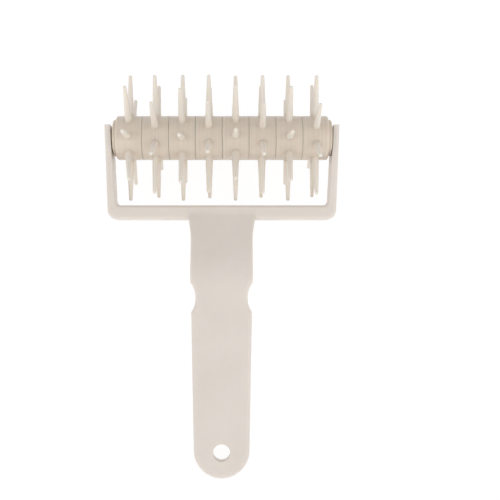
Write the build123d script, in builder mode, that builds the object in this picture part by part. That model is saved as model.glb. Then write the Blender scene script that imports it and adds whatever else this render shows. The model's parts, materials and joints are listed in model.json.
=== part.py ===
from build123d import *
from math import acos, asin, atan2, cos, degrees, hypot, radians, sin, tan
import os

# A roller docker: a one-piece yoke and handle, and a roller of spiked rings that turns in its arms.
# Lengths are in millimetres and angles in degrees.
# Each piece is modelled in the tool's own frame: X along the roller's axis, -Y down the handle,
# and Z out of the side that faces the user. The last section lays the tool on a table.

# Spiked rings
ring_count = 8
ring_radius = 11.35
ring_width = 13.55
ring_gap = 0.1
seam_edge = 0.25
end_edge = 1.0
spike_count = 8
tip_radius = 32.45
spike_root_radius = 1.85
spike_tip_radius = 0.9
spike_tip_edge = 0.75
spike_sink = 1.6
spike_root_fillet = 0.4
# How far each ring lies turned from its even place, because it is loose on its keys, left to right
ring_turns = (1.9, -1.2, 5.1, -2.9, 0.7, -0.9, 2.4, 0.4)
# One spike of the first ring is bent along the roller
bent_spike = 1
bend_angle = 5.5

# Core tube with two keys, and the keyways in the rings
core_radius = 7.0
core_wall = 1.5
core_slip = 0.1
key_count = 2
key_width = 3.0
key_height = 1.2
keyway_side_play = 0.85
keyway_top_play = 0.2

# End caps: flange, hollow plug and stub axle
flange_radius = 9.4
flange_width = 1.6
flange_edge = 0.5
plug_slip = 0.05
plug_length = 9.0
plug_wall = 1.4
plug_lead = 0.5
stub_radius = 3.4
stub_lead = 0.4
stub_slip = 0.07
stub_end_gap = 0.3
flange_gap = 0.85
# The roller has slid this far to the right in its end play
roller_shift = 0.2

# Yoke: two splayed arms, thinner towards their tops, and the crossbar
yoke_depth = 13.6
arm_thickness = 3.15
outer_splay = 2.2
inner_splay = 3.1
arm_top = 6.1
bar_reach = 35.25
bar_width = 7.4
bar_outer_corner = 5.0
bar_inner_corner = 3.3
yoke_edge = 1.8
# How much of that rounding is cut away again along the arms' inner faces, which leaves it slight
inner_trim = 1.3
socket_floor = 1.0
# How far a cut starts outside the face that it enters
cut_overrun = 1.0

# Handle: neck, finger notches and flat grip; every reach is measured from the roller's axis
strap_thickness = 5.0
# How far the strap runs on from the crossbar before it climbs
climb_lead = 2.2
climb_angle = 25.0
climb_rise = 13.2
low_bend = 8.0
high_bend = 35.0
flare_root_width = 37.3
flare_length = 12.3
neck_width = 31.2
neck_edge = 0.8
notch_reach = 74.4
notch_length = 14.8
notch_depth = 2.6
notch_lower_corner = 0.8
grip_width = 30.35
grip_reach = 171.9
grip_end_radius = 13.9
grip_edge = 2.2
hole_radius = 4.25
# How far the hang hole's middle lies from the end of the grip
hole_inset = 13.1
hole_edge = 0.4

# Worked out from the sizes above
ring_pitch = ring_width + ring_gap
stack_length = ring_count * ring_pitch
spike_pitch = 360 / spike_count
key_angle = 90 - spike_pitch / 4
core_bore = core_radius - core_wall
arm_inside = stack_length / 2 + flange_width + flange_gap
arm_outside = arm_inside + arm_thickness
socket_depth = arm_thickness - socket_floor
bar_outer_reach = bar_reach + bar_width
root_reach = bar_reach + yoke_edge
climb_reach = root_reach + climb_lead
yoke_front = yoke_depth / 2
grip_front = yoke_front + climb_rise
grip_back = grip_front - strap_thickness
hole_reach = grip_reach - hole_inset


def seat_at(x, turn, facing):
    """A plane across the roller's axis, its own x axis pointing along the keys."""
    angle = radians(key_angle + turn)
    return Plane(origin=(x, 0, 0), x_dir=(0, cos(angle), sin(angle)), z_dir=(facing, 0, 0))


def inner_half(y):
    """Half the width between the arms at height y."""
    return arm_inside + y * tan(radians(inner_splay))


def outer_half(y):
    """Half the width across the arms at height y."""
    return arm_outside + y * tan(radians(outer_splay))


# One spike, along X from where it leaves the barrel, its foot sunk in the ring's wall
with BuildPart() as spike:
    with BuildSketch(Plane.XY) as spike_half:
        spike_length = tip_radius - ring_radius
        with BuildLine():
            Polyline(
                (-spike_sink, 0),
                (-spike_sink, spike_root_radius),
                (0, spike_root_radius),
                (spike_length, spike_tip_radius),
                (spike_length, 0),
                close=True,
            )
        make_face()
        fillet(spike_half.vertices().group_by(Axis.X)[-1].sort_by(Axis.Y)[-1], spike_tip_edge)
    revolve(axis=Axis.X)


def spiked_ring(name, seat, outer_edge, bent=None):
    """A ring with spikes all round; outer_edge rounds the rim at the back of its seat.

    The spike whose number is bent leans over from its root towards the front of the seat.
    """
    with BuildPart(seat) as ring:
        with BuildSketch(seat):
            Circle(ring_radius)
            Circle(core_radius + core_slip, mode=Mode.SUBTRACT)
            with PolarLocations(0, key_count):
                Rectangle(
                    core_radius + key_height + keyway_top_play,
                    key_width + 2 * keyway_side_play,
                    align=(Align.MIN, Align.CENTER),
                    mode=Mode.SUBTRACT,
                )
        extrude(amount=ring_width / 2, both=True)
        rims = ring.edges().filter_by(GeomType.CIRCLE).group_by(SortBy.RADIUS)[-1]
        rims = rims.sort_by(Axis(seat.origin, seat.z_dir))
        fillet(rims[-1], seam_edge)
        rims = ring.edges().filter_by(GeomType.CIRCLE).group_by(SortBy.RADIUS)[-1]
        rims = rims.sort_by(Axis(seat.origin, seat.z_dir))
        fillet(rims[0], outer_edge)
        for number in range(spike_count):
            with PolarLocations(ring_radius, 1, start_angle=spike_pitch / 4 + number * spike_pitch):
                add(spike.part, rotation=(0, -bend_angle if number == bent else 0, 0))
        fillet(ring.edges().filter_by(GeomType.BSPLINE), spike_root_fillet)
    ring.part.label = name
    return ring.part


rings = []
for index in range(ring_count):
    place = roller_shift + (index - (ring_count - 1) / 2) * ring_pitch
    # Every second ring is turned over, which moves its spikes by half their pitch
    facing = 1 if index % 2 == 0 else -1
    at_an_end = index in (0, ring_count - 1)
    rings.append(
        spiked_ring(
            f"spike_ring_{index + 1}",
            seat_at(place, ring_turns[index % len(ring_turns)], facing),
            end_edge if at_an_end else seam_edge,
            bent_spike if index == 0 else None,
        )
    )

# The keyed tube that the rings slide on
with BuildPart() as core_tube:
    with BuildSketch(seat_at(roller_shift, 0, 1)):
        Circle(core_radius)
        with PolarLocations(0, key_count):
            Rectangle(core_radius + key_height, key_width, align=(Align.MIN, Align.CENTER))
        Circle(core_bore, mode=Mode.SUBTRACT)
    extrude(amount=stack_length / 2, both=True)
core_tube.part.label = "core_tube"


def end_cap(name, side):
    """The cap on one end of the core: a flange, a hollow plug in the core and a stub axle in the arm."""
    stack_end = roller_shift + side * stack_length / 2
    face = Plane(origin=(stack_end, 0, 0), x_dir=(0, 1, 0), z_dir=(side, 0, 0))
    outward = Axis(face.origin, face.z_dir)
    with BuildPart() as cap:
        with BuildSketch(face):
            Circle(flange_radius)
        extrude(amount=flange_width)
        fillet(cap.edges().sort_by(outward)[-1], flange_edge)
        with BuildSketch(face):
            Circle(core_bore - plug_slip)
            Circle(core_bore - plug_slip - plug_wall, mode=Mode.SUBTRACT)
        extrude(amount=-plug_length)
        chamfer(cap.edges().group_by(outward)[0].sort_by(SortBy.RADIUS)[-1], plug_lead)
        with BuildSketch(face.offset(flange_width)):
            Circle(stub_radius)
        extrude(amount=flange_gap + socket_depth - stub_end_gap)
        chamfer(cap.edges().sort_by(outward)[-1], stub_lead)
    cap.part.label = name
    return cap.part


caps = [end_cap("left_end_cap", -1), end_cap("right_end_cap", 1)]

# The neck and grip: one strap of even thickness, bent in its side view and cut out in its plan
with BuildPart() as strap:
    with BuildSketch(Plane.YZ):
        with BuildLine():
            FilletPolyline(
                (-root_reach, yoke_front),
                (-climb_reach, yoke_front),
                (-(climb_reach + climb_rise / tan(radians(climb_angle))), grip_front),
                (-grip_reach, grip_front),
                radius=(low_bend, high_bend),
            )
            offset(amount=strap_thickness, side=Side.LEFT)
        make_face()
    extrude(amount=flare_root_width, both=True)

    end_centre = grip_reach - grip_end_radius
    notch_end = notch_reach + notch_length
    side_length = end_centre - notch_end
    # The angle by which each side of the grip closes in towards the round end, and runs into it
    side_angle = degrees(
        acos(grip_end_radius / hypot(grip_width / 2, side_length)) - atan2(side_length, grip_width / 2)
    )
    with BuildSketch(Plane.XY) as plan:
        with BuildLine():
            root_corner = (flare_root_width / 2, -root_reach)
            neck_top = (neck_width / 2, -(bar_outer_reach + flare_length))
            notch_top = (neck_width / 2, -notch_reach)
            notch_middle = (neck_width / 2 - notch_depth, -(notch_reach + notch_length / 2))
            notch_bottom = (grip_width / 2, -notch_end)
            round_end = CenterArc(
                (0, -end_centre), grip_end_radius, 180 + side_angle, 180 - 2 * side_angle
            )
            TangentArc(neck_top, root_corner, tangent=(0, 1))
            Line(neck_top, notch_top)
            ThreePointArc(notch_top, notch_middle, notch_bottom)
            Line(notch_bottom, round_end @ 1)
            mirror(about=Plane.YZ)
            Line((-flare_root_width / 2, -root_reach), root_corner)
        make_face()
        fillet(plan.vertices().group_by(Axis.Y)[1], notch_lower_corner)
    extrude(amount=grip_front, both=True, mode=Mode.INTERSECT)

    # The grip is well rounded from the notches to its end, and the neck above them only a little
    outline = strap.edges().filter_by(Axis.X, reverse=True).filter_by(Axis.Z, reverse=True)
    fillet(outline.filter_by_position(Axis.Y, -grip_reach, -notch_reach, (True, False)), grip_edge)
    outline = strap.edges().filter_by(Axis.X, reverse=True).filter_by(Axis.Z, reverse=True)
    fillet(outline.filter_by_position(Axis.Y, -notch_reach, -bar_reach), neck_edge)
    with BuildSketch(Plane.XY.offset(grip_back)):
        with Locations((0, -hole_reach)):
            Circle(hole_radius)
    extrude(amount=strap_thickness, mode=Mode.SUBTRACT)
    rims = strap.edges().filter_by(GeomType.CIRCLE)
    fillet(rims.filter_by_position(Axis.Y, -hole_reach, -hole_reach), hole_edge)

# The yoke with the strap growing out of its crossbar, and a blind socket for the axle in each arm
with BuildPart() as yoke_handle:
    with BuildSketch(Plane.XY) as fork:
        right_side = [
            (outer_half(-bar_outer_reach), -bar_outer_reach),
            (outer_half(arm_top), arm_top),
            (inner_half(arm_top) - inner_trim, arm_top),
            (inner_half(-bar_reach) - inner_trim, -bar_reach),
        ]
        left_side = [(-x, y) for x, y in reversed(right_side)]
        with BuildLine():
            Polyline(*right_side, *left_side, close=True)
        make_face()
        inner_corners = fork.vertices().filter_by_position(Axis.Y, -bar_reach, -bar_reach)
        fillet(inner_corners, bar_inner_corner - inner_trim)
        fillet(fork.vertices().group_by(Axis.Y)[0], bar_outer_corner)
    extrude(amount=yoke_front, both=True)
    # The front and back edges are rounded, but not across the tops of the arms
    edges = yoke_handle.faces().filter_by(Axis.Z).edges()
    fillet(edges.filter_by_position(Axis.Y, -bar_outer_reach, arm_top, (True, False)), yoke_edge)
    with BuildSketch(Plane.XY) as opening:
        right_side = [
            (inner_half(arm_top + cut_overrun), arm_top + cut_overrun),
            (inner_half(-bar_reach), -bar_reach),
        ]
        left_side = [(-x, y) for x, y in reversed(right_side)]
        with BuildLine():
            Polyline(*right_side, *left_side, close=True)
        make_face()
        fillet(opening.vertices().group_by(Axis.Y)[0], bar_inner_corner)
    extrude(amount=yoke_front + cut_overrun, both=True, mode=Mode.SUBTRACT)
    add(strap.part)
    for side in (-1, 1):
        with BuildSketch(Plane(origin=(side * (arm_inside - cut_overrun), 0, 0), z_dir=(side, 0, 0))):
            Circle(stub_radius + stub_slip)
        extrude(amount=cut_overrun + socket_depth, mode=Mode.SUBTRACT)
yoke_handle.part.label = "yoke_handle"

# Laid on a table, the tool rests on its lowest spikes and on the rounded edge of the grip's end
end_height = grip_back + grip_edge
end_reach = grip_reach - grip_edge
lean = degrees(
    atan2(end_height, end_reach) + asin((tip_radius - grip_edge) / hypot(end_height, end_reach))
)
handle_side = end_reach * cos(radians(lean)) + end_height * sin(radians(lean)) + grip_edge
on_table = Location((0, (handle_side - tip_radius) / 2, tip_radius), (lean, 0, 0))

os.makedirs("parts", exist_ok=True)
for piece in [*rings, core_tube.part, *caps, yoke_handle.part]:
    export_step(piece.moved(on_table), f"parts/{piece.label}.step")
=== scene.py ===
"""A roller docker lying on a pale table: its moulded plastic finishes, soft light and camera."""

import json
import math

import bpy
from mathutils import Matrix, Vector


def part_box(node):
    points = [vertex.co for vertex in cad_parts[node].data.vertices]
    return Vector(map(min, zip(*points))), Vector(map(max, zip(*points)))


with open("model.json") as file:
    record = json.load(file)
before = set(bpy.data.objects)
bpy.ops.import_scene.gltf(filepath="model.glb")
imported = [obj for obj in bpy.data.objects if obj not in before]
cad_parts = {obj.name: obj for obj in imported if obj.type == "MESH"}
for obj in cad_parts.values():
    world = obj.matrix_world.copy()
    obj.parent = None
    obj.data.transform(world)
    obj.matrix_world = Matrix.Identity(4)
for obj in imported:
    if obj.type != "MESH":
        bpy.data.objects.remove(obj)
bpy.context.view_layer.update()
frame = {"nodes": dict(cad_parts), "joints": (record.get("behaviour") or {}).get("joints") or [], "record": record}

MM = 0.001

# The tool's own axes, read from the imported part: across, up the page, and out towards the user.
# The hinge lies on the roller's axis, and the hang hole runs square through the flat grip.
axle = Vector(frame["joints"][0]["pos_m"])
across = Vector(frame["joints"][0]["axis"]).normalized()
hang_hole = next(m for m in frame["record"]["mounts"] if m["name"] == "hang_hole")
outward = Vector(hang_hole["axis"]).normalized()
up_page = outward.cross(across)
lean = math.atan2(-outward.y, outward.z)

# Sizes of the part that the finishes follow
BARREL_RADIUS = 11.35 * MM
first_ring, second_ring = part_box("spike_ring_1"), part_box("spike_ring_2")
RING_PITCH = second_ring[0][0] - first_ring[0][0]
STACK_START = first_ring[0][0]
# The strap of the handle: where it leaves the crossbar, where it starts to climb, its slope, its
# height and its middle at the yoke
BAR_END = 42.65 * MM
CLIMB_START = 39.25 * MM
CLIMB_SLOPE = math.tan(math.radians(25))
CLIMB_RISE = 13.2 * MM
STRAP_MIDDLE = 4.3 * MM
# The parting line steps up from the crossbar's middle to the strap's within this length
PARTING_STEP = 0.2 * MM
# It is full this far from its middle, and gone at the second distance
PARTING_FULL, PARTING_GONE = 0.06 * MM, 0.16 * MM


def tool_place(x, y, z):
    """A place given in millimetres from the roller's axis along the tool's own axes."""
    return axle + (across * x + up_page * y + outward * z) * MM


def srgb(red, green, blue):
    """A colour given as 8-bit sRGB, as the linear colour that a shader takes."""
    def linear(level):
        share = level / 255
        return share / 12.92 if share <= 0.04045 else ((share + 0.055) / 1.055) ** 2.4
    return (linear(red), linear(green), linear(blue), 1.0)


def grey(level):
    """A neutral colour of one linear level."""
    return (level, level, level, 1.0)


WHITE = grey(1.0)
# Shades of each plastic, the darker first. The barrel's and the caps' are the handle's cream painted darker as
# painted shade, and the spikes' colour is painted paler as painted light
HANDLE_SHADES = srgb(217, 208, 199), srgb(222, 214, 206)
# Painted shade: the barrel's mottled tones are the handle's cream made darker and warmer
BARREL_TONES_AND_SHADE = srgb(209, 195, 179), srgb(219, 207, 193)
# Painted shade: the caps' mottled tones are the handle's cream made darker
CAP_TONES_AND_SHADE = srgb(206, 192, 174), srgb(215, 203, 187)
# Painted light: paler than the plastic, standing in for the light that passes through the thin spikes
SPIKE_PAINTED_LIGHT = srgb(227, 220, 210)
# How far past the barrel a spike turns from the barrel's colour to its paler one, which is painted light
SPIKE_FADE = 2.5 * MM
# Light sinks a little way into all the plastic, which is satin under a thin gloss
SOFT = {
    "IOR": 1.48,
    "Coat Weight": 0.3,
    "Coat Roughness": 0.3,
    "Sheen Weight": 0.0,
    "Subsurface Weight": 0.35,
    "Subsurface Radius": (1.0, 0.75, 0.5),
    "Subsurface Scale": 2.5 * MM,
}

# The table's side in metres
TABLE_SIDE = 6
# The table as the camera sees it: its glow, and the share of the light on it that shows a shadow
TABLE_GLOW, TABLE_SHADOW = 0.9, 0.14
# The table as the tool sees it: the share of the light that it gives back, and its own light
TABLE_BOUNCE, TABLE_FILL = 0.9, 0.35
# The surround's level, and how much brighter it gets towards the end of the handle
SURROUND_LEVEL, SURROUND_TILT = 0.74, 0.24
# Each lamp's place in millimetres, side in metres and power in watts
LAMPS = {
    "front softbox": ((110, -520, 1200), 1.0, 1.6),
    "left softbox": ((-900, -60, 740), 0.9, 2.2),
    "right softbox": ((900, -60, 740), 0.9, 2.2),
}
LAMP_TARGET = (0, -50, 0)

# The camera as fitted to the photograph: its place in millimetres, and in pixels its focal length,
# the column of the picture that it faces and the width of the picture
CAMERA_PLACE = (5.18, -58.2, 408.6)
FOCAL_PIXELS = 785
FACED_COLUMN = 232
PICTURE_PIXELS = 500
# The sensor's width in the millimetres that Blender takes, and the nearest thing it may show
SENSOR_WIDTH = 36
NEAREST_SEEN = 10 * MM


class Level:
    """A number on a socket. Python's operators add the Math nodes."""

    def __init__(self, finish, socket):
        self.finish = finish
        self.socket = socket

    def math(self, operation, *others, clamp=False):
        settings = {"operation": operation, "use_clamp": clamp}
        return self.finish.node("ShaderNodeMath", settings, dict(enumerate((self, *others))))

    def __add__(self, other):
        return self.math("ADD", other)

    __radd__ = __add__

    def __sub__(self, other):
        return self.math("SUBTRACT", other)

    def __rsub__(self, other):
        return self * -1 + other

    def __mul__(self, other):
        return self.math("MULTIPLY", other)

    __rmul__ = __mul__

    def __truediv__(self, other):
        return self.math("DIVIDE", other)

    def __abs__(self):
        return self.math("ABSOLUTE")

    def clamped(self):
        return self.math("ADD", 0.0, clamp=True)

    def rise(self, low, high):
        """0 below low, 1 above high and an even slope between them."""
        return ((self - low) / (high - low)).clamped()


class Finish:
    """A material or a world whose nodes are added one call at a time."""

    def __init__(self, holder):
        self.holder = holder
        holder.use_nodes = True
        self.tree = holder.node_tree
        self.tree.nodes.clear()

    def node(self, kind, settings=None, inputs=None, output=0):
        """Adds a node, its settings first and then its sockets' values or links.

        Returns one of its outputs.
        """
        made = self.tree.nodes.new(kind)
        for name, value in (settings or {}).items():
            setattr(made, name, value)
        for name, value in (inputs or {}).items():
            source = value.socket if isinstance(value, Level) else value
            if isinstance(source, bpy.types.NodeSocket):
                self.tree.links.new(source, made.inputs[name])
            else:
                made.inputs[name].default_value = source
        found = made.outputs[output]
        return Level(self, found) if found.type == "VALUE" else found

    def mix(self, share, first, second):
        """The colour that goes from first to second as share goes from 0 to 1."""
        settings = {"data_type": "RGBA", "blend_type": "MIX", "clamp_factor": True}
        return self.node("ShaderNodeMix", settings, {0: share, 6: first, 7: second}, output=2)

    def place(self):
        """Places on the tool along its own axes, in metres from the roller's axis."""
        here = self.node("ShaderNodeTexCoord", output="Object")
        inputs = {"Vector": here, "Location": axle, "Rotation": (lean, 0, 0)}
        return self.node("ShaderNodeMapping", {"vector_type": "TEXTURE"}, inputs)

    def split(self, vector):
        """The three parts of a vector."""
        parts = self.node("ShaderNodeSeparateXYZ", None, {"Vector": vector})
        found = parts.socket.node.outputs
        return [Level(self, found[axis]) for axis in "XYZ"]

    def noise(self, vector, size, detail=2.0, roughness=0.5):
        """Smooth noise from 0 to 1 whose blobs are about size metres wide."""
        inputs = {"Vector": vector, "Scale": 1 / size, "Detail": detail, "Roughness": roughness}
        return self.node("ShaderNodeTexNoise", None, inputs)

    def satin(self, noise, smoothest, spread):
        """Roughness that noise raises from its smoothest by up to spread."""
        return smoothest + noise * spread

    def seen_by(self, *rays):
        """1 for the named kinds of rays, and 0 for the others."""
        return sum(self.node("ShaderNodeLightPath", output=ray) for ray in rays).clamped()

    def bump(self, height, depth, normal=None):
        """A bump whose height of 1 stands depth metres proud."""
        inputs = {"Height": height, "Strength": 1.0, "Distance": depth}
        if normal is not None:
            inputs["Normal"] = normal
        return self.node("ShaderNodeBump", None, inputs)

    def parting_line(self, distance):
        """1 on the fine line that a mould leaves where distance is 0, and 0 beside it."""
        return 1 - abs(distance).rise(PARTING_FULL, PARTING_GONE)

    def plastic(self, colour, roughness, normal, **constants):
        """Ends the material in one plastic surface."""
        inputs = {"Base Color": colour, "Roughness": roughness, "Normal": normal, **constants}
        return self.end(self.node("ShaderNodeBsdfPrincipled", None, inputs))

    def end(self, shader, kind="ShaderNodeOutputMaterial"):
        """Makes shader the surface and returns the finished material or world."""
        ending = self.tree.nodes.new(kind)
        self.tree.links.new(shader, ending.inputs["Surface"])
        return self.holder


def handle_finish():
    """Satin cream plastic of the yoke and handle, with faint mottling and a fine grain."""
    finish = Finish(bpy.data.materials.new("satin cream handle plastic"))
    place = finish.place()
    mottle = finish.noise(place, size=22 * MM, detail=3)
    cloud = finish.noise(place, size=5 * MM, detail=4, roughness=0.6)
    # Mostly broad mottling, with smaller clouds in it
    share = (mottle * 0.7 + cloud * 0.3).rise(low=0.3, high=0.7)
    colour = finish.mix(share, *HANDLE_SHADES)
    grain = finish.noise(place, size=0.35 * MM, detail=3, roughness=0.7)
    roughness = finish.satin(cloud, smoothest=0.40, spread=0.14)
    normal = finish.bump(grain, depth=0.012 * MM)
    # The mould's parting line follows the middle of the arms, the crossbar and the bent strap
    _, y, z = finish.split(place)
    reach = y * -1
    climbed = (reach - CLIMB_START).math("MAXIMUM", 0.0) * CLIMB_SLOPE
    on_strap = reach.rise(BAR_END, BAR_END + PARTING_STEP)
    middle = (climbed.math("MINIMUM", CLIMB_RISE) + STRAP_MIDDLE) * on_strap
    line = finish.parting_line(z - middle)
    normal = finish.bump(line, depth=0.05 * MM, normal=normal)
    return finish.plastic(colour, roughness, normal, **SOFT)


def ring_finish():
    """The handle's cream plastic on the spiked rings: painted darker and warmer on the barrel as painted shade
    among the spikes, and painted paler on the spikes as painted light, with fine lines round the barrel.
    """
    finish = Finish(bpy.data.materials.new("satin cream ring plastic"))
    place = finish.place()
    x, y, z = finish.split(place)
    radius = (y * y + z * z).math("SQRT")
    mottle = finish.noise(place, size=9 * MM, detail=3)
    # Lines round the barrel vary only along the axis
    along = finish.node("ShaderNodeCombineXYZ", None, {"X": x})
    lines = finish.noise(along, size=0.9 * MM, detail=1, roughness=0.7)
    share = (mottle * 0.3 + lines * 0.7).rise(low=0.35, high=0.65)
    # Painted shade: the barrel's colour is darker and warmer than the handle's cream
    barrel = finish.mix(share, *BARREL_TONES_AND_SHADE)
    # Painted light: the spikes turn paler outwards from the barrel
    spike = radius.rise(BARREL_RADIUS, BARREL_RADIUS + SPIKE_FADE)
    colour = finish.mix(spike, barrel, SPIKE_PAINTED_LIGHT)
    grain = finish.noise(place, size=0.3 * MM, detail=3, roughness=0.7)
    roughness = finish.satin(mottle, smoothest=0.40, spread=0.14)
    height = grain * 0.4 + lines * 0.6
    normal = finish.bump(height, depth=0.02 * MM)
    # Each ring's mould parts at its middle
    along_ring = ((x - STACK_START) / RING_PITCH).math("FRACT")
    middle_of_ring = 0.5
    line = finish.parting_line((along_ring - middle_of_ring) * RING_PITCH)
    normal = finish.bump(line, depth=0.04 * MM, normal=normal)
    return finish.plastic(colour, roughness, normal, **SOFT)


def cap_finish():
    """Plain plastic of the end caps and the core: the handle's cream painted darker, as painted shade in the gaps
    by the arms.
    """
    finish = Finish(bpy.data.materials.new("satin cream cap plastic"))
    place = finish.place()
    mottle = finish.noise(place, size=6 * MM, detail=3)
    # Painted shade: the caps' colour is darker than the handle's cream
    colour = finish.mix(mottle, *CAP_TONES_AND_SHADE)
    grain = finish.noise(place, size=0.3 * MM, detail=3, roughness=0.7)
    roughness = finish.satin(mottle, smoothest=0.42, spread=0.1)
    normal = finish.bump(grain, depth=0.012 * MM)
    return finish.plastic(colour, roughness, normal, **SOFT)


def table_surface(finish, bounce, glow):
    """A surface that gives back a share of the light on it and has some light of its own."""
    dull = finish.node("ShaderNodeBsdfDiffuse", None, {"Color": grey(bounce)})
    light = finish.node("ShaderNodeEmission", None, {"Color": WHITE, "Strength": glow})
    return finish.node("ShaderNodeAddShader", None, {0: dull, 1: light})


def table_finish():
    """White table: cameras and reflections see it white, and it keeps a soft shadow."""
    finish = Finish(bpy.data.materials.new("white table"))
    white = table_surface(finish, TABLE_SHADOW, TABLE_GLOW)
    plain = table_surface(finish, TABLE_BOUNCE, TABLE_FILL)
    share = finish.seen_by("Is Camera Ray", "Is Glossy Ray", "Is Transmission Ray")
    return finish.end(finish.node("ShaderNodeMixShader", None, {0: share, 1: plain, 2: white}))


def dress():
    """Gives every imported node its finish."""
    handle, ring, cap = handle_finish(), ring_finish(), cap_finish()
    for name, node in frame["nodes"].items():
        finish = ring if name.startswith("spike_ring") else cap
        if name == "yoke_handle":
            finish = handle
        node.data.materials.clear()
        node.data.materials.append(finish)


def add_table():
    """A wide plain table under the tool."""
    bpy.ops.object.select_all(action="DESELECT")
    bpy.ops.mesh.primitive_plane_add(size=TABLE_SIDE, location=(0, 0, 0))
    table = bpy.context.object
    table.name = "table"
    table.data.materials.append(table_finish())


def add_world():
    """A soft surround, brighter towards the end of the handle; it looks white itself."""
    world = Finish(bpy.data.worlds.new("white surround"))
    here = world.node("ShaderNodeTexCoord", output="Generated")
    along = {"operation": "DOT_PRODUCT"}
    rise = world.node("ShaderNodeVectorMath", along, {0: here, 1: up_page}, output=1)
    level = SURROUND_LEVEL - rise * SURROUND_TILT
    lighting = world.node("ShaderNodeBackground", None, {"Color": WHITE, "Strength": level})
    shown = world.node("ShaderNodeBackground", None, {"Color": WHITE})
    share = world.seen_by("Is Camera Ray", "Is Glossy Ray")
    surface = world.node("ShaderNodeMixShader", None, {0: share, 1: lighting, 2: shown})
    bpy.context.scene.world = world.end(surface, "ShaderNodeOutputWorld")


def add_lamp(name, place, target, size, power):
    """A square soft lamp at place, turned to face target."""
    light = bpy.data.lights.new(name, "AREA")
    light.shape = "SQUARE"
    light.size = size
    light.energy = power
    lamp = bpy.data.objects.new(name, light)
    bpy.context.scene.collection.objects.link(lamp)
    lamp.location = place
    lamp.rotation_euler = (target - place).to_track_quat("-Z", "Y").to_euler()


def add_lights():
    """Broad soft lamps: one in front, towards the end of the handle, and one each side."""
    for name, (place, size, power) in LAMPS.items():
        add_lamp(name, tool_place(*place), tool_place(*LAMP_TARGET), size, power)


def add_camera():
    """The photograph's view: square on to the grip, near the middle of the tool."""
    camera = bpy.data.cameras.new("camera")
    camera.sensor_width = SENSOR_WIDTH
    camera.lens = SENSOR_WIDTH * FOCAL_PIXELS / PICTURE_PIXELS
    camera.shift_x = (PICTURE_PIXELS / 2 - FACED_COLUMN) / PICTURE_PIXELS
    camera.clip_start = NEAREST_SEEN
    viewer = bpy.data.objects.new("camera", camera)
    bpy.context.scene.collection.objects.link(viewer)
    turn = Matrix((across, up_page, outward)).transposed().to_4x4()
    viewer.matrix_world = Matrix.Translation(tool_place(*CAMERA_PLACE)) @ turn
    bpy.context.scene.camera = viewer


dress()
add_table()
add_world()
add_lights()
add_camera()
bpy.context.scene.view_settings.view_transform = "Standard"
